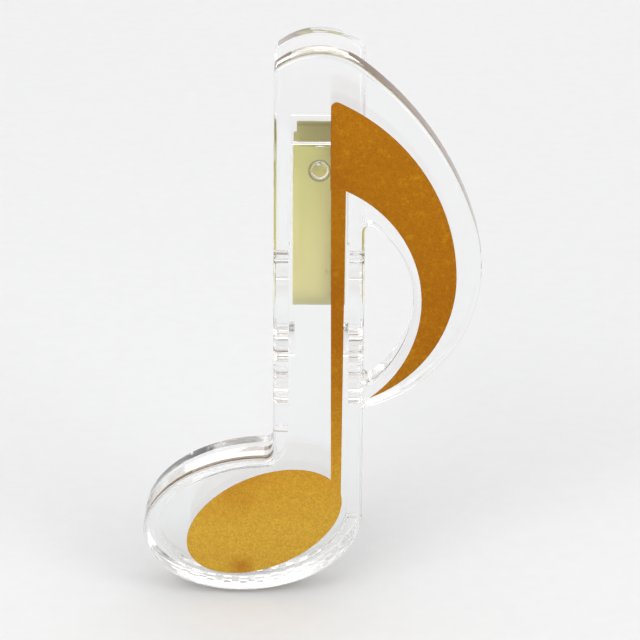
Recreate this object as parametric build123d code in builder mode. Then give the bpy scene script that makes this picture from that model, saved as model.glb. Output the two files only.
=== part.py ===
"""Spring clip for sheet music, shaped like an eighth note.

Two clear levers turn on moulded pins half way up the stem, and a leaf spring between the
handles closes the jaws.  Millimetres, +Z up.  The front face looks along -Y.  The origin is on
the stem's centre line, level with the lowest point of the jaws, in the plane where they close.
"""
import os
from math import cos, radians, sin

from build123d import *

os.makedirs("parts", exist_ok=True)

# --- Driving dimensions ---
STEM_WIDTH = 16.0
FRONT_THICKNESS = 5.8
REAR_THICKNESS = 4.8
RIM_WIDTH = 2.6  # the rails along the stem and the rim round the head
CHANNEL_TOP = 66.0
FRONT_CHANNEL_DEPTH = 2.2  # inside the rails and the rim
REAR_CHANNEL_DEPTH = 1.6
POCKET_WIDTH = 9.8  # the spring lies in this, above the channel
FRONT_POCKET_TOP = 84.4
REAR_POCKET_TOP = 87.0
JAW_STEP = 0.4  # the jaws' rims stand this much proud of the rails
LEFT_STEP_Z = 30.0
RIGHT_STEP_Z = 13.2
EDGE_ROUND = 0.85
BEYOND = 60.0  # a size that reaches past the whole part

CAP_TOP = 101.4
CAP_RADIUS = 12.2
SHOULDER_ROUND = 1.5

HEAD_RADII = (19.8, 12.9)
HEAD_CENTRE_Z = 13.0
HEAD_TILT = 7.2
NECK_ROUND = 1.5
CHANNEL_NECK_ROUND = 5.0

CAP_TURN = 36.9  # the cap's arc runs on into the flag's two arcs
FLAG_UPPER_RADIUS = 56.4
FLAG_UPPER_TURN = 36.3
FLAG_LOWER_RADIUS = 27.3
FLAG_LOWER_TURN = 99.7
WINDOW_WIDEST = (16.7, 56.3)  # the gap between the flag and the stem
WINDOW_TOP = (8.0, 70.9)
WINDOW_FOOT = (8.0, 39.9)
WINDOW_ROUND = 1.0
FLAG_FOOT = (8.0, 36.3)
FLAG_FOOT_ROUND = 0.8

PRINT_THICKNESS = 0.15
PRINT_HEAD_CENTRE = (-9.6, 13.8)
PRINT_HEAD_RADII = (14.9, 8.8)
PRINT_HEAD_TILT = 25.3
PRINT_STEM_TOP_LEFT = (1.9, 93.3)
PRINT_STEM_LEFT = (2.4, 20.0)
PRINT_STEM_RIGHT = (4.2, 17.0)
PRINT_STEM_TOP_RIGHT = (4.6, 80.0)
PRINT_FLAG_SHOULDER = (16.4, 82.5)
PRINT_FLAG_WIDEST = (24.2, 60.6)
PRINT_FLAG_TIP = (9.2, 38.0)
PRINT_FLAG_INNER = (18.1, 56.6)
PRINT_FLAG_INNER_TOP = (4.6, 76.7)
PRINT_CORNER_ROUND = 1.0

LEAN = 5.0  # of the rear lever, with the jaws closed
THUMB_START = 82.0  # the rear lever grows thicker from here to its end
THUMB_DEPTH = 2.4
REAR_BACK_ROUND = 1.0

PIVOT_Y = 2.0
PIVOT_Z = 46.0
PIN_RADIUS = 1.5
BORE_RADIUS = 1.56
BOSS_RADIUS = 3.0
SCALLOP_RADIUS = 3.5  # in the rear rails, round the front bosses
# Side profile of the humps above and below each boss, as (Y, Z): three arcs each, end to end.
UPPER_HUMP = ((-1.0, 64.6), (0.7, 64.0), (1.4, 62.6), (2.5, 60.5), (1.4, 58.4), (0.7, 54.0), (1.5, 49.5))
LOWER_HUMP = ((1.5, 42.5), (0.9, 41.6), (1.5, 40.7), (2.4, 39.1), (1.5, 37.5), (0.8, 36.2), (-1.0, 35.6))
EAR_RADIUS = 2.5
EAR_INNER_X = 4.3
EAR_OUTER_X = 5.3
EAR_ROOT_Y = 6.6
PIN_END_X = 7.6

TOOTH_GAPS = 12
TOOTH_START = 221.0
TOOTH_TURN = 108.0
TOOTH_INSET = 0.8  # from the head's outline to the middle of a gap
TOOTH_GAP_WIDTH = 1.4
TOOTH_GAP_LENGTH = 1.1
TOOTH_GAP_DEPTH = 0.8

LEAF_WIDTH = 9.3
LEAF_THICKNESS = 0.45
LEAF_CLEARANCE = 0.02
LEAF_TOP = 83.9
LEAF_FOOT = 53.4
LEAF_REAR_LENGTH = 27.0
LEAF_TONGUE_WIDTH = 8.2
LEAF_TONGUE_LENGTH = 3.0
LEAF_LIP_RADIUS = 1.2
LEAF_LIP_TURN = 100.0
LEAF_HOLE_RADIUS = 1.75
STUD_RADIUS = 1.32
STUD_HEIGHT = 1.0
STUD_Z = 79.6
CUT_DEPTH = 3.0  # deep enough to pass through one arm of the spring

# --- Worked out from the driving dimensions ---
HALF_STEM = STEM_WIDTH / 2
SHOULDER_Z = CAP_TOP - CAP_RADIUS + (CAP_RADIUS**2 - HALF_STEM**2) ** 0.5
HEAD_SIN = sin(radians(HEAD_TILT))
HEAD_COS = cos(radians(HEAD_TILT))
HEAD_REACH = ((HEAD_RADII[0] * HEAD_COS) ** 2 + (HEAD_RADII[1] * HEAD_SIN) ** 2) ** 0.5
HEAD_CENTRE = (HALF_STEM - HEAD_REACH, HEAD_CENTRE_Z)  # the oval touches the stem's right edge
HEAD_SPREAD = HEAD_RADII[0] ** 2 - HEAD_RADII[1] ** 2
HEAD_SIDE_Z = HEAD_CENTRE_Z + HEAD_SPREAD * HEAD_SIN * HEAD_COS / HEAD_REACH
NECK_Z = 28.0
RAIL_MIDDLE_X = HALF_STEM - RIM_WIDTH / 2
LEAN_SIN = sin(radians(LEAN))
LEAN_COS = cos(radians(LEAN))

# Middle lines of the spring's two arms, measured from the plane where each lever's jaw closes,
# and the radius of the fold that touches both.
FRONT_ARM_DEPTH = FRONT_CHANNEL_DEPTH - LEAF_CLEARANCE - LEAF_THICKNESS / 2
REAR_ARM_DEPTH = REAR_CHANNEL_DEPTH - LEAF_CLEARANCE - LEAF_THICKNESS / 2
FOLD_FOOT_Z = LEAF_FOOT + LEAF_THICKNESS / 2
FOLD_RADIUS = (REAR_ARM_DEPTH + FRONT_ARM_DEPTH * LEAN_COS + FOLD_FOOT_Z * LEAN_SIN) / (
    1 + LEAN_COS - LEAN_SIN
)

# Both planes have X across, Z (or the lever's length) up, and face the front.
front_plane = Plane.XZ
rear_plane = Plane.XZ.rotated((-LEAN, 0, 0))
rear_side = Plane.YZ.rotated((-LEAN, 0, 0))


# --- Outlines, drawn as seen from the front ---
def head_outline(inset=0):
    """The oval note head."""
    with BuildSketch(mode=Mode.PRIVATE) as head:
        with Locations(HEAD_CENTRE):
            Ellipse(HEAD_RADII[0] - inset, HEAD_RADII[1] - inset, rotation=HEAD_TILT)
    return head.sketch


def stem_outline():
    """The straight stem with its domed cap."""
    with BuildSketch(mode=Mode.PRIVATE) as stem:
        with BuildLine():
            left = Line((-HALF_STEM, HEAD_SIDE_Z), (-HALF_STEM, SHOULDER_Z))
            cap = ThreePointArc(left @ 1, (0, CAP_TOP), (HALF_STEM, SHOULDER_Z))
            Polyline(cap @ 1, (HALF_STEM, HEAD_SIDE_Z), left @ 0)
        make_face()
    return stem.sketch


def flag_outline():
    """The flag, with the gap between it and the stem left open."""
    with BuildSketch(mode=Mode.PRIVATE) as flag:
        with BuildLine():
            cap = JernArc((0, CAP_TOP), (1, 0), CAP_RADIUS, -CAP_TURN)
            upper = JernArc(cap @ 1, cap % 1, FLAG_UPPER_RADIUS, -FLAG_UPPER_TURN)
            lower = JernArc(upper @ 1, upper % 1, FLAG_LOWER_RADIUS, -FLAG_LOWER_TURN)
            Polyline(lower @ 1, (0, (lower @ 1).Y), cap @ 0)
        make_face()
        with BuildLine():
            window_upper = TangentArc(WINDOW_WIDEST, WINDOW_TOP, tangent=(0, 1))
            window_lower = TangentArc(WINDOW_WIDEST, WINDOW_FOOT, tangent=(0, -1))
            Line(window_upper @ 1, window_lower @ 1)
        make_face(mode=Mode.SUBTRACT)
    return flag.sketch


def corner(sketch, point):
    """The sketch's corner nearest to a point."""
    return sketch.vertices().sort_by_distance(point)[0]


def lever_outline():
    """Stem and head in one, with the inner corner between them rounded."""
    with BuildSketch(mode=Mode.PRIVATE) as lever:
        add(stem_outline())
        add(head_outline())
        fillet(corner(lever, (-HALF_STEM, NECK_Z)), NECK_ROUND)
    return lever.sketch


def channel_outline(pocket_top):
    """The hollow inside the rails and the rim, with the narrower spring pocket above it."""
    channel_width = STEM_WIDTH - 2 * RIM_WIDTH
    with BuildSketch(mode=Mode.PRIVATE) as channel:
        add(head_outline(RIM_WIDTH))
        with Locations((0, HEAD_SIDE_Z)):
            Rectangle(channel_width, CHANNEL_TOP - HEAD_SIDE_Z, align=(Align.CENTER, Align.MIN))
        fillet(corner(channel, (-channel_width / 2, NECK_Z - RIM_WIDTH)), CHANNEL_NECK_ROUND)
        with Locations((0, PIVOT_Z)):
            Rectangle(POCKET_WIDTH, pocket_top - PIVOT_Z, align=(Align.CENTER, Align.MIN))
    return channel.sketch


def step_outline():
    """The part of a lever's inner face that stands back from the jaws: rails, handle and flag."""
    with BuildSketch(mode=Mode.PRIVATE) as step:
        with Locations((0, LEFT_STEP_Z)):
            Rectangle(BEYOND, 2 * BEYOND, align=(Align.MAX, Align.MIN))
        with Locations((0, RIGHT_STEP_Z)):
            Rectangle(BEYOND, 2 * BEYOND, align=(Align.MIN, Align.MIN))
    return step.sketch


def tooth_planes(lever_plane, first, count):
    """One plane for each gap between the teeth, evenly spread round the bottom of the rim."""
    gap_line = EllipticalCenterArc(
        HEAD_CENTRE,
        HEAD_RADII[0] - TOOTH_INSET,
        HEAD_RADII[1] - TOOTH_INSET,
        start_angle=TOOTH_START,
        arc_size=TOOTH_TURN,
        rotation=HEAD_TILT,
    )
    planes = []
    for number in range(count):
        along = (first + number) / (TOOTH_GAPS - 1)
        origin = lever_plane.from_local_coords(gap_line @ along)
        ahead = lever_plane.from_local_coords(gap_line @ along + gap_line % along)
        planes.append(Plane(origin=origin, x_dir=ahead - origin, z_dir=lever_plane.z_dir))
    return planes


def print_outline():
    """The printed eighth note."""
    with BuildSketch(mode=Mode.PRIVATE) as note:
        with Locations(PRINT_HEAD_CENTRE):
            Ellipse(*PRINT_HEAD_RADII, rotation=PRINT_HEAD_TILT)
        with BuildLine():
            stem = (PRINT_STEM_TOP_LEFT, PRINT_STEM_LEFT, PRINT_STEM_RIGHT, PRINT_STEM_TOP_RIGHT)
            Polyline(*stem, close=True)
        make_face()
        with BuildLine():
            outer = ThreePointArc(PRINT_STEM_TOP_LEFT, PRINT_FLAG_SHOULDER, PRINT_FLAG_WIDEST)
            lower = TangentArc(outer @ 1, PRINT_FLAG_TIP, tangent=outer % 1)
            inner = ThreePointArc(lower @ 1, PRINT_FLAG_INNER, PRINT_FLAG_INNER_TOP)
            Polyline(inner @ 1, (PRINT_STEM_TOP_LEFT[0], PRINT_FLAG_INNER_TOP[1]), outer @ 0)
        make_face()
        fillet(corner(note, PRINT_STEM_TOP_LEFT), PRINT_CORNER_ROUND)
    return note.sketch


# --- Front lever: a thick clear slab, hollowed behind the stem and the head ---
front_tooth_planes = tooth_planes(front_plane, 0, TOOTH_GAPS)

with BuildPart() as front_lever:
    with BuildSketch(front_plane) as front_outline:
        add(lever_outline())
        add(flag_outline())
        fillet(corner(front_outline, (-HALF_STEM, SHOULDER_Z)), SHOULDER_ROUND)
        fillet(corner(front_outline, FLAG_FOOT), FLAG_FOOT_ROUND)
        fillet(corner(front_outline, WINDOW_TOP), WINDOW_ROUND)
        fillet(corner(front_outline, WINDOW_FOOT), WINDOW_ROUND)
    extrude(amount=FRONT_THICKNESS)
    fillet(front_lever.faces().sort_by(Axis.Y)[0].edges(), EDGE_ROUND)
    with BuildSketch(front_plane):
        add(step_outline())
    extrude(amount=JAW_STEP, mode=Mode.SUBTRACT)
    with BuildSketch(front_plane):
        add(channel_outline(FRONT_POCKET_TOP))
    extrude(amount=FRONT_CHANNEL_DEPTH, mode=Mode.SUBTRACT)

    # A hinge boss on each rail, between two smaller humps.
    for side in (-1, 1):
        with BuildSketch(Plane.YZ.offset(side * RAIL_MIDDLE_X)):
            with BuildLine():
                for hump in (UPPER_HUMP, LOWER_HUMP):
                    for start in (0, 2, 4):
                        ThreePointArc(*hump[start : start + 3])
                Line(UPPER_HUMP[-1], LOWER_HUMP[0])
                Line(LOWER_HUMP[-1], UPPER_HUMP[0])
            make_face()
            with Locations((PIVOT_Y, PIVOT_Z)):
                Circle(BOSS_RADIUS)
                Circle(BORE_RADIUS, mode=Mode.SUBTRACT)
        extrude(amount=RIM_WIDTH / 2, both=True)

    for plane in front_tooth_planes:
        with BuildSketch(plane):
            Rectangle(TOOTH_GAP_WIDTH, TOOTH_GAP_LENGTH)
        extrude(amount=TOOTH_GAP_DEPTH, mode=Mode.SUBTRACT)

    # Stud that holds the spring's front arm.
    with BuildSketch(front_plane.offset(FRONT_CHANNEL_DEPTH + STUD_HEIGHT)):
        with Locations((0, STUD_Z)):
            Circle(STUD_RADIUS)
    extrude(amount=-2 * STUD_HEIGHT)
front_lever.part.label = "front_lever"
export_step(front_lever.part, "parts/front_lever.step")

# --- Rear lever: the same stem and head without the flag, leaning back, with a thick thumb end ---
rear_tooth_planes = tooth_planes(rear_plane, 0.5, TOOTH_GAPS - 1)

with BuildPart() as rear_lever:
    with BuildSketch(rear_plane) as rear_outline:
        add(lever_outline())
        fillet(corner(rear_outline, (-HALF_STEM, SHOULDER_Z)), SHOULDER_ROUND)
        fillet(corner(rear_outline, (HALF_STEM, SHOULDER_Z)), SHOULDER_ROUND)
    extrude(amount=-REAR_THICKNESS - THUMB_DEPTH)
    with BuildSketch(rear_side):
        with BuildLine():
            back = Line((REAR_THICKNESS, -STEM_WIDTH), (REAR_THICKNESS, THUMB_START))
            swell = TangentArc(back @ 1, (REAR_THICKNESS + THUMB_DEPTH, CAP_TOP), tangent=(0, 1))
            Polyline(swell @ 1, (BEYOND, CAP_TOP), (BEYOND, -STEM_WIDTH), back @ 0)
        make_face()
    extrude(amount=BEYOND, both=True, mode=Mode.SUBTRACT)
    back_faces = rear_lever.faces().filter_by(lambda face: face.normal_at().Y > 0.5)
    fillet(back_faces.edges().filter_by(Axis.X, reverse=True), REAR_BACK_ROUND)
    with BuildSketch(rear_plane):
        add(step_outline())
    extrude(amount=-JAW_STEP, mode=Mode.SUBTRACT)
    with BuildSketch(rear_plane):
        add(channel_outline(REAR_POCKET_TOP))
    extrude(amount=-REAR_CHANNEL_DEPTH, mode=Mode.SUBTRACT)

    # Hollows in the rails for the front bosses, then the two hinge ears with their pins.
    with BuildSketch(Plane.YZ):
        with Locations((PIVOT_Y, PIVOT_Z)):
            Circle(SCALLOP_RADIUS)
    extrude(amount=STEM_WIDTH, both=True, mode=Mode.SUBTRACT)
    for side in (-1, 1):
        with BuildSketch(Plane.YZ.offset(side * EAR_INNER_X)):
            with Locations((PIVOT_Y, PIVOT_Z)):
                Circle(EAR_RADIUS)
                Rectangle(EAR_ROOT_Y - PIVOT_Y, 2 * EAR_RADIUS, align=(Align.MIN, Align.CENTER))
        extrude(amount=side * (EAR_OUTER_X - EAR_INNER_X))
        with BuildSketch(Plane.YZ.offset(side * EAR_INNER_X)):
            with Locations((PIVOT_Y, PIVOT_Z)):
                Circle(PIN_RADIUS)
        extrude(amount=side * (PIN_END_X - EAR_INNER_X))

    for plane in rear_tooth_planes:
        with BuildSketch(plane):
            Rectangle(TOOTH_GAP_WIDTH, TOOTH_GAP_LENGTH)
        extrude(amount=-TOOTH_GAP_DEPTH, mode=Mode.SUBTRACT)

    # Stud that holds the spring's rear arm.
    with BuildSketch(rear_plane.offset(-REAR_CHANNEL_DEPTH - STUD_HEIGHT)):
        with Locations((0, STUD_Z)):
            Circle(STUD_RADIUS)
    extrude(amount=2 * STUD_HEIGHT)
rear_lever.part.label = "rear_lever"
export_step(rear_lever.part, "parts/rear_lever.step")

# --- Leaf spring: one strip, folded at the foot, each arm in its lever's pocket ---
with BuildPart() as leaf_spring:
    with BuildSketch(Plane.YZ):
        with BuildLine():
            fold_centre = Vector(FOLD_RADIUS - FRONT_ARM_DEPTH, FOLD_FOOT_Z + FOLD_RADIUS)
            front_arm = Line((-FRONT_ARM_DEPTH, LEAF_TOP), (-FRONT_ARM_DEPTH, fold_centre.Y))
            fold_end = fold_centre + Vector(LEAN_COS, -LEAN_SIN) * FOLD_RADIUS
            fold = TangentArc(front_arm @ 1, fold_end, tangent=(0, -1))
            rear_arm = Line(fold @ 1, fold_end + Vector(LEAN_SIN, LEAN_COS) * LEAF_REAR_LENGTH)
            JernArc(rear_arm @ 1, rear_arm % 1, LEAF_LIP_RADIUS, LEAF_LIP_TURN)
        trace(line_width=LEAF_THICKNESS)
    extrude(amount=LEAF_WIDTH / 2, both=True)
    with BuildSketch(front_plane):
        with Locations((0, STUD_Z)):
            Circle(LEAF_HOLE_RADIUS)
    extrude(amount=CUT_DEPTH, mode=Mode.SUBTRACT)
    with BuildSketch(rear_plane):
        with Locations((0, STUD_Z)):
            Circle(LEAF_HOLE_RADIUS)
        with Locations((-LEAF_WIDTH / 2, REAR_POCKET_TOP), (LEAF_WIDTH / 2, REAR_POCKET_TOP)):
            Rectangle(LEAF_WIDTH - LEAF_TONGUE_WIDTH, 2 * LEAF_TONGUE_LENGTH)
    extrude(amount=CUT_DEPTH, both=True, mode=Mode.SUBTRACT)
leaf_spring.part.label = "leaf_spring"
export_step(leaf_spring.part, "parts/leaf_spring.step")

# --- Printed note: a thin layer on the front face ---
with BuildPart() as note_print:
    with BuildSketch(front_plane.offset(FRONT_THICKNESS)):
        add(print_outline())
    extrude(amount=PRINT_THICKNESS)
note_print.part.label = "note_print"
export_step(note_print.part, "parts/note_print.step")
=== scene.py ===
import math

import bmesh
import bpy
from mathutils import Matrix, Vector


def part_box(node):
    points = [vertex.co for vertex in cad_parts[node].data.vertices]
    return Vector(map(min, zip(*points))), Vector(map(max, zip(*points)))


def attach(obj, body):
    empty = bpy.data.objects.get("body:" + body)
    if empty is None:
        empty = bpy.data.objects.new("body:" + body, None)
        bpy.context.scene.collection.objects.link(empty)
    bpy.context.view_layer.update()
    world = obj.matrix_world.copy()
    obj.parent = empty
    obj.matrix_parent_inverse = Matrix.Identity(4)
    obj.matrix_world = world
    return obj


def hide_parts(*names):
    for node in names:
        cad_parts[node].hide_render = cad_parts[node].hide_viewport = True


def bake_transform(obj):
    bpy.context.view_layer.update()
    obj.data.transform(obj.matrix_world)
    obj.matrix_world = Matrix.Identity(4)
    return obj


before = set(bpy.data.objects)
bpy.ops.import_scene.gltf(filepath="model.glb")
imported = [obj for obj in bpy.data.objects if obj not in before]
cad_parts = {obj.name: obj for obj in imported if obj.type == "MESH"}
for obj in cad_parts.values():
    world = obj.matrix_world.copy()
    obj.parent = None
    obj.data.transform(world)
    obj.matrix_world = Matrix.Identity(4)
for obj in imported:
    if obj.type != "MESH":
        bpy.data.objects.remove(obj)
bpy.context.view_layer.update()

MM = 0.001
scene = bpy.context.scene
scene.view_settings.view_transform = "Standard"
# Light turns many times inside clear plastic, and paths cut short would leave its edges black.
scene.cycles.max_bounces = 32
scene.cycles.glossy_bounces = 20
scene.cycles.transmission_bounces = 24

# ---------------------------------------------------------------- places read from the frame
spring_low, spring_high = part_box("leaf_spring")
print_low, print_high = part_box("note_print")
front_low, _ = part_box("front_lever")
rear_low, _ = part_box("rear_lever")

# ---------------------------------------------------------------- materials
PLASTIC_IOR = 1.57
FRONT_TINT = (0.975, 0.978, 0.978)
REAR_TINT = (0.985, 0.988, 0.988)
INK_HEAD = (0.60, 0.365, 0.045)
INK_STEM = (0.50, 0.245, 0.014)
INK_FLAG = (0.37, 0.135, 0.001)
INK_FLAG_TOP = (0.42, 0.165, 0.002)
INK_DARK_GRAIN = (0.62, 0.52, 0.35, 1.0)
INK_BRIGHT_GRAIN = (0.30, 0.20, 0.005, 1.0)
INK_CLOUD = (0.86, 0.76, 0.60, 1.0)
INK_BLOTCH = (0.76, 0.56, 0.45, 1.0)
# painted shade: the spring's colour at its top, darker than at its middle and foot
BRASS_SHADED_TOP = (0.74, 0.71, 0.20)
BRASS_MIDDLE = (0.96, 0.90, 0.35)
BRASS_FOOT = (0.98, 0.92, 0.41)
# painted shade on the spring's rear arm, where the levers keep the light off it
BRASS_REAR_ARM_SHADE = (0.56, 0.52, 0.46, 1.0)
# painted shade: the dark ring on the spring round the stud in its hole
BRASS_STUD_SHADE = (0.42, 0.36, 0.22, 1.0)
BRASS_CLOUD = (0.90, 0.90, 0.80, 1.0)
BRASS_STAIN = (0.80, 0.62, 0.35, 1.0)
PAPER_DARK = (0.80, 0.805, 0.81)
PAPER_BRIGHT = (0.815, 0.82, 0.825)
AIR_BEHIND_CAMERA = (0.50, 0.39, 0.28, 1.0)
AIR_ELSEWHERE = (0.975, 0.98, 0.985, 1.0)
AIR_STRENGTH = 0.88

BLOTCH_PLACE = (-0.0136, print_low.y, 0.0049)
BLOTCH_REACH = (0.0003, 0.0028)  # full within the first distance, none beyond the second
# painted shade round the stud: full within the first distance of the stud's foot, none beyond the
# second
STUD_RING_REACH = (0.00186, 0.0021)
REAR_SHADE_DEPTH = (0.004, 0.007)  # painted shade darkens the spring's rear arm between these Y places
REAR_SHADE_HEIGHT = (0.080, 0.082)  # and only above these Z places

# ---------------------------------------------------------------- the spring's pocket in both levers
POCKET_HALF_WIDTH = 4.9 * MM
POCKET_FOOT = 65.0 * MM
POCKET_TOP = 88.0 * MM
MOUTH_ROUND = 0.35 * MM
STUD_PLACE = Vector((0.0, -0.0022, 0.0796))  # the foot of the stud in the front lever
STUD_RADIUS = 1.32 * MM
STUD_ROUND = 0.36 * MM
WALL_TOLERANCE = 0.05 * MM
STUD_TOLERANCE = 0.03 * MM
SQUARE_CORNER = math.radians(60)  # edges that turn by more than this are square ones

# ---------------------------------------------------------------- rounds and meshes
LEVER_EDGE = 0.12 * MM
PRINT_EDGE = 0.06 * MM
PRINT_SINK = 0.03 * MM
SPRING_EDGE = 0.08 * MM
SMOOTH_BELOW = math.radians(50.0)
FLAT_BELOW = math.radians(0.3)


# ---------------------------------------------------------------- node helpers
class Nodes:
    """A material's node tree, with short calls for the nodes used here."""

    def __init__(self, name):
        self.material = bpy.data.materials.new(name)
        self.material.use_nodes = True
        self.tree = self.material.node_tree
        self.shader = self.tree.nodes["Principled BSDF"]
        coordinates = self.tree.nodes.new("ShaderNodeTexCoord")
        self.place = coordinates.outputs["Object"]

    def link(self, value, socket):
        if isinstance(value, bpy.types.NodeSocket):
            self.tree.links.new(value, socket)
        else:
            socket.default_value = value

    def noise(self, scale, detail, roughness, stretch=None):
        node = self.tree.nodes.new("ShaderNodeTexNoise")
        node.inputs["Scale"].default_value = scale
        node.inputs["Detail"].default_value = detail
        node.inputs["Roughness"].default_value = roughness
        place = self.place
        if stretch:
            mapping = self.tree.nodes.new("ShaderNodeMapping")
            mapping.inputs["Scale"].default_value = stretch
            self.tree.links.new(self.place, mapping.inputs["Vector"])
            place = mapping.outputs["Vector"]
        self.tree.links.new(place, node.inputs["Vector"])
        return node.outputs["Fac"]

    def ramp(self, value, stops):
        node = self.tree.nodes.new("ShaderNodeValToRGB")
        elements = node.color_ramp.elements
        while len(elements) < len(stops):
            elements.new(0.5)
        for element, (position, colour) in zip(elements, stops):
            element.position = position
            element.color = (*colour, 1.0)
        self.link(value, node.inputs["Fac"])
        return node.outputs["Color"]

    def range(self, value, low, high, to_low, to_high):
        node = self.tree.nodes.new("ShaderNodeMapRange")
        self.link(value, node.inputs["Value"])
        node.inputs["From Min"].default_value = low
        node.inputs["From Max"].default_value = high
        node.inputs["To Min"].default_value = to_low
        node.inputs["To Max"].default_value = to_high
        return node.outputs["Result"]

    def across(self, axis, low, high):
        """0 at the low place on an axis and 1 at the high one."""
        node = self.tree.nodes.new("ShaderNodeSeparateXYZ")
        self.link(self.place, node.inputs["Vector"])
        return self.range(node.outputs[axis], low, high, 0.0, 1.0)

    def near(self, point, inner, outer):
        """1 within the inner distance of a point, 0 beyond the outer one."""
        node = self.tree.nodes.new("ShaderNodeVectorMath")
        node.operation = "DISTANCE"
        self.link(self.place, node.inputs[0])
        node.inputs[1].default_value = point
        return self.range(node.outputs["Value"], inner, outer, 1.0, 0.0)

    def mix(self, share, first, second, mode="MIX"):
        node = self.tree.nodes.new("ShaderNodeMix")
        node.data_type = "RGBA"
        node.blend_type = mode
        self.link(share, node.inputs["Factor"])
        self.link(first, node.inputs[6])  # the colour sockets: A, B and Result
        self.link(second, node.inputs[7])
        return node.outputs[2]

    def bump(self, height, distance, strength, under=None):
        node = self.tree.nodes.new("ShaderNodeBump")
        node.inputs["Distance"].default_value = distance
        node.inputs["Strength"].default_value = strength
        self.link(height, node.inputs["Height"])
        if under is not None:
            self.link(under, node.inputs["Normal"])
        return node.outputs["Normal"]

    def set(self, **sockets):
        for name, value in sockets.items():
            self.link(value, self.shader.inputs[name.replace("_", " ")])


def clear_plastic(name, tint):
    """Moulded clear styrene with faint flow marks and fine handling marks."""
    nodes = Nodes(name)
    flow = nodes.noise(45.0, 2.0, 0.4, (1.0, 1.0, 0.45))
    rub = nodes.noise(900.0, 3.0, 0.6)
    nodes.set(
        Base_Color=(*tint, 1.0),
        Roughness=nodes.range(rub, 0.4, 0.8, 0.0, 0.05),
        IOR=PLASTIC_IOR,
        Transmission_Weight=1.0,
        Normal=nodes.bump(rub, 0.000003, 0.5, nodes.bump(flow, 0.0002, 0.5)),
    )
    return nodes.material


def gold_ink():
    """Satin gold ink with a fine grain, a painted sheen that makes it paler towards the note's head,
    and one dark blotch.
    """
    nodes = Nodes("gold_ink")
    grain = nodes.noise(3300.0, 3.0, 0.75)
    speck = nodes.noise(900.0, 2.0, 0.6)
    cloud = nodes.noise(60.0, 2.0, 0.5)
    # painted sheen: the ink's colour runs paler from the flag down to the note's head
    height = nodes.across("Z", print_low.z, print_high.z)
    stops = ((0.1, INK_HEAD), (0.3, INK_STEM), (0.5, INK_FLAG), (1.0, INK_FLAG_TOP))
    base = nodes.ramp(height, stops)
    grained = nodes.mix(nodes.range(grain, 0.35, 0.65, 0.0, 0.7), base, INK_DARK_GRAIN, "MULTIPLY")
    lit = nodes.mix(nodes.range(speck, 0.55, 0.75, 0.0, 0.3), grained, INK_BRIGHT_GRAIN, "SCREEN")
    clouded = nodes.mix(nodes.range(cloud, 0.45, 0.65, 0.0, 0.7), lit, INK_CLOUD, "MULTIPLY")
    toned = nodes.mix(nodes.near(BLOTCH_PLACE, *BLOTCH_REACH), clouded, INK_BLOTCH, "MULTIPLY")
    nodes.set(
        Base_Color=toned,
        Metallic=0.15,
        Roughness=nodes.range(grain, 0.3, 0.7, 0.5, 0.7),
        Specular_IOR_Level=0.12,
        Normal=nodes.bump(grain, 0.00001, 0.4),
    )
    return nodes.material


def brass_steel():
    """Brass-coloured plated strip with faint clouds, stains and rolling lines, and painted shade
    towards its top, on its rear arm and round the stud.
    """
    nodes = Nodes("brass_steel")
    rolled = nodes.noise(350.0, 3.0, 0.6, (6.0, 0.5, 0.5))
    cloud = nodes.noise(120.0, 3.0, 0.5)
    stain = nodes.noise(420.0, 2.0, 0.5)
    height = nodes.across("Z", spring_low.z, spring_high.z)
    # painted shade: the strip darkens towards its top, where it lies deep in the plastic
    arms_painted_shade = nodes.ramp(height, ((0.0, BRASS_FOOT), (0.4, BRASS_MIDDLE), (1.0, BRASS_SHADED_TOP)))
    # painted shade on the spring's rear arm, where the levers keep the light off it
    rear_arm_shaded = nodes.mix(nodes.across("Y", *REAR_SHADE_DEPTH), arms_painted_shade, BRASS_REAR_ARM_SHADE, "MULTIPLY")
    base = nodes.mix(nodes.across("Z", *REAR_SHADE_HEIGHT), arms_painted_shade, rear_arm_shaded)
    # painted shade: a dark ring on the strip round the stud in its hole
    stud_ring_shade = nodes.near(STUD_PLACE, *STUD_RING_REACH)
    stud_shaded_base = nodes.mix(stud_ring_shade, base, BRASS_STUD_SHADE, "MULTIPLY")
    clouded = nodes.mix(nodes.range(cloud, 0.4, 0.7, 0.0, 0.35), stud_shaded_base, BRASS_CLOUD, "MULTIPLY")
    stained = nodes.mix(nodes.range(stain, 0.68, 0.78, 0.0, 0.5), clouded, BRASS_STAIN, "MULTIPLY")
    nodes.set(
        Base_Color=stained,
        Metallic=0.2,
        Roughness=nodes.range(rolled, 0.3, 0.7, 0.3, 0.45),
        Normal=nodes.bump(rolled, 0.000006, 0.3),
    )
    return nodes.material


# ---------------------------------------------------------------- pieces
def round_edges(mesh, edges, radius, segments, clamp):
    """A round of the given radius along the edges; clamp shrinks it where edges are too close."""
    bmesh.ops.bevel(
        mesh,
        geom=edges,
        offset=radius,
        segments=segments,
        profile=0.5,
        affect="EDGES",
        clamp_overlap=clamp,
    )


def round_pocket(mesh):
    """A moulded round along the three long edges at the mouth of the spring's pocket."""
    mouth = []
    for edge in mesh.edges:
        on_wall = all(
            abs(abs(vert.co.x) - POCKET_HALF_WIDTH) < WALL_TOLERANCE
            and POCKET_FOOT < vert.co.z < POCKET_TOP
            for vert in edge.verts
        )
        outward = edge.calc_face_angle_signed(0.0) > SQUARE_CORNER
        if on_wall and outward and edge.calc_length() > POCKET_HALF_WIDTH:
            mouth.append(edge)
    round_edges(mesh, mouth, MOUTH_ROUND, segments=3, clamp=False)


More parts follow.
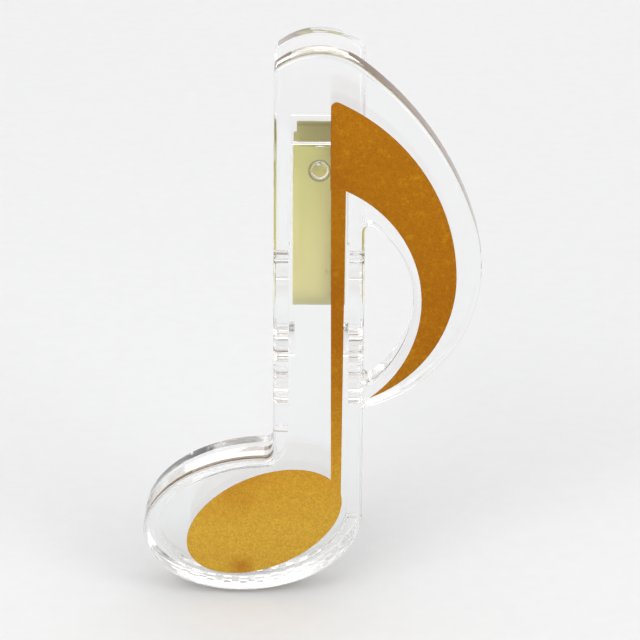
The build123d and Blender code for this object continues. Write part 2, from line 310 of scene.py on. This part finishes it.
def round_stud(mesh):
    """A moulded round where the front lever's stud meets the pocket's floor.

    The rear lever has no edge at that place, so its stud stays sharp.
    """
    root = []
    for edge in mesh.edges:
        on_circle = all(
            abs((vert.co - STUD_PLACE).length - STUD_RADIUS) < STUD_TOLERANCE
            and abs(vert.co.y - STUD_PLACE.y) < STUD_TOLERANCE
            for vert in edge.verts
        )
        if on_circle and edge.calc_face_angle_signed(0.0) < -SQUARE_CORNER:
            root.append(edge)
    round_edges(mesh, root, STUD_ROUND, segments=3, clamp=False)


def worked_copy(node, name, edge, sharp=35.0, sink=0.0, pocket=False):
    """A finer mesh made from a CAD node, in its place, with fine rounds on its sharp edges.

    edge is the round asked for; where edges lie close together it comes out smaller. sharp is the
    least turn, in degrees, of an edge that gets one. sink moves the rearmost face back, so that
    ink lies in the plastic's surface and not above it. pocket adds the rounds of the spring's
    pocket.
    """
    mesh = bmesh.new()
    mesh.from_mesh(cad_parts[node].data)
    bmesh.ops.remove_doubles(mesh, verts=mesh.verts, dist=1e-7)
    bmesh.ops.dissolve_limit(
        mesh,
        angle_limit=FLAT_BELOW,
        verts=mesh.verts,
        edges=mesh.edges,
        use_dissolve_boundaries=False,
    )
    if pocket:
        round_pocket(mesh)
        round_stud(mesh)
    least_turn = math.radians(sharp)
    corners = [e for e in mesh.edges if e.is_manifold and e.calc_face_angle(0.0) > least_turn]
    round_edges(mesh, corners, edge, segments=2, clamp=True)
    if sink:
        back = max(v.co.y for v in mesh.verts)
        for vert in mesh.verts:
            if vert.co.y > back - edge / 4:
                vert.co.y += sink
    bmesh.ops.remove_doubles(mesh, verts=mesh.verts, dist=2e-7)
    bmesh.ops.dissolve_degenerate(mesh, edges=mesh.edges, dist=1e-7)
    bmesh.ops.triangulate(mesh, faces=[f for f in mesh.faces if len(f.verts) > 4])
    data = bpy.data.meshes.new(name)
    mesh.to_mesh(data)
    mesh.free()
    data.shade_smooth()
    data.set_sharp_from_angle(angle=SMOOTH_BELOW)
    piece = bpy.data.objects.new(name, data)
    scene.collection.objects.link(piece)
    if pocket:
        even = piece.modifiers.new("flat_faces_stay_flat", "WEIGHTED_NORMAL")
        even.mode = "FACE_AREA"
        even.weight = 100
        even.keep_sharp = True
    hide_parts(node)
    return piece


def finish_piece(piece, material):
    piece.data.materials.clear()
    piece.data.materials.append(material)


clear_front = worked_copy(
    "front_lever", "clear_front_lever", LEVER_EDGE, pocket=True
)
finish_piece(clear_front, clear_plastic("clear_front_finish", FRONT_TINT))
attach(clear_front, "front")

clear_rear = worked_copy("rear_lever", "clear_rear_lever", LEVER_EDGE, pocket=True)
finish_piece(clear_rear, clear_plastic("clear_rear_finish", REAR_TINT))
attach(clear_rear, "rear")

gold_note = worked_copy("note_print", "gold_note", PRINT_EDGE, sink=PRINT_SINK)
finish_piece(gold_note, gold_ink())
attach(gold_note, "front")

spring_strip = worked_copy("leaf_spring", "spring_strip", SPRING_EDGE, sharp=50.0)
finish_piece(spring_strip, brass_steel())
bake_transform(spring_strip)


# ---------------------------------------------------------------- floor, light and camera
def stage_sheet():
    """A pale floor that curves up into a wall behind the part."""
    width, depth_front, depth_back, height, bend = 6.0, 3.0, 1.6, 3.0, 0.8
    below_part = 0.0005
    floor_z = min(front_low.z, rear_low.z) - below_part
    profile = [(-depth_front, 0.0), (depth_back - bend, 0.0)]
    steps = 24
    for step in range(1, steps + 1):
        angle = math.pi / 2 * step / steps
        profile.append((depth_back - bend + bend * math.sin(angle), bend * (1 - math.cos(angle))))
    profile.append((depth_back, height))
    mesh = bmesh.new()
    rows = [
        [mesh.verts.new((side * width / 2, y, floor_z + z)) for side in (-1, 1)]
        for y, z in profile
    ]
    for lower, upper in zip(rows, rows[1:]):
        mesh.faces.new((lower[0], lower[1], upper[1], upper[0])).smooth = True
    data = bpy.data.meshes.new("studio_sweep")
    mesh.to_mesh(data)
    sweep = bpy.data.objects.new("studio_sweep", data)
    scene.collection.objects.link(sweep)
    nodes = Nodes("studio_paper")
    fine = nodes.noise(300.0, 3.0, 0.5)
    nodes.set(
        Base_Color=nodes.ramp(fine, ((0.3, PAPER_DARK), (0.7, PAPER_BRIGHT))),
        Roughness=0.9,
    )
    data.materials.append(nodes.material)


def area_light(name, place, target, size, power):
    """A soft white lamp, size metres wide and high, of power watts, turned to the target."""
    data = bpy.data.lights.new(name, "AREA")
    data.shape = "RECTANGLE"
    data.size, data.size_y = size
    data.energy = power
    light = bpy.data.objects.new(name, data)
    light.location = place
    light.rotation_mode = "QUATERNION"
    light.rotation_quaternion = (Vector(target) - Vector(place)).to_track_quat("-Z", "Y")
    scene.collection.objects.link(light)


def world_light():
    """Pale air all round, with a darker cone behind the camera, so that clear edges show."""
    world = bpy.data.worlds.new("studio_air")
    world.use_nodes = True
    scene.world = world
    tree = world.node_tree
    background = tree.nodes["Background"]
    coordinates = tree.nodes.new("ShaderNodeTexCoord")
    split = tree.nodes.new("ShaderNodeSeparateXYZ")
    ramp = tree.nodes.new("ShaderNodeValToRGB")
    spread = tree.nodes.new("ShaderNodeMapRange")
    tree.links.new(coordinates.outputs["Generated"], split.inputs["Vector"])
    tree.links.new(split.outputs["Y"], spread.inputs["Value"])
    spread.inputs["From Min"].default_value = -1.0
    tree.links.new(spread.outputs["Result"], ramp.inputs["Fac"])
    ramp.color_ramp.elements[0].position = 0.03
    ramp.color_ramp.elements[0].color = AIR_BEHIND_CAMERA
    ramp.color_ramp.elements[1].position = 0.15
    ramp.color_ramp.elements[1].color = AIR_ELSEWHERE
    tree.links.new(ramp.outputs["Color"], background.inputs["Color"])
    background.inputs["Strength"].default_value = AIR_STRENGTH


stage_sheet()
world_light()
middle = Vector((0.0, 0.0, 0.05))
area_light("key_light", (-0.55, -1.1, 0.7), middle, (1.0, 1.0), 8.5)
area_light("fill_light", (0.9, -0.8, 0.6), middle, (0.7, 0.9), 4.3)
area_light("back_light", (0.1, 1.1, 0.55), middle, (1.4, 0.5), 2.6)

CAMERA_DISTANCE = 0.6
CAMERA_ELEVATION = math.radians(20.5)
CAMERA_ROLL = math.radians(0.4)
camera_target = Vector((0.00025, front_low.y, 0.0527))
camera_back = Vector((0.0, -math.cos(CAMERA_ELEVATION), math.sin(CAMERA_ELEVATION)))
camera_data = bpy.data.cameras.new("camera")
camera_data.lens = 191.25
camera_data.sensor_width = 36.0
camera_data.clip_start, camera_data.clip_end = 0.01, 20.0
camera = bpy.data.objects.new("camera", camera_data)
camera.location = camera_target + camera_back * CAMERA_DISTANCE
camera.rotation_mode = "QUATERNION"
facing = (-camera_back).to_track_quat("-Z", "Y").to_matrix()
camera.rotation_quaternion = (facing @ Matrix.Rotation(CAMERA_ROLL, 3, "Z")).to_quaternion()
scene.collection.objects.link(camera)
scene.camera = camera
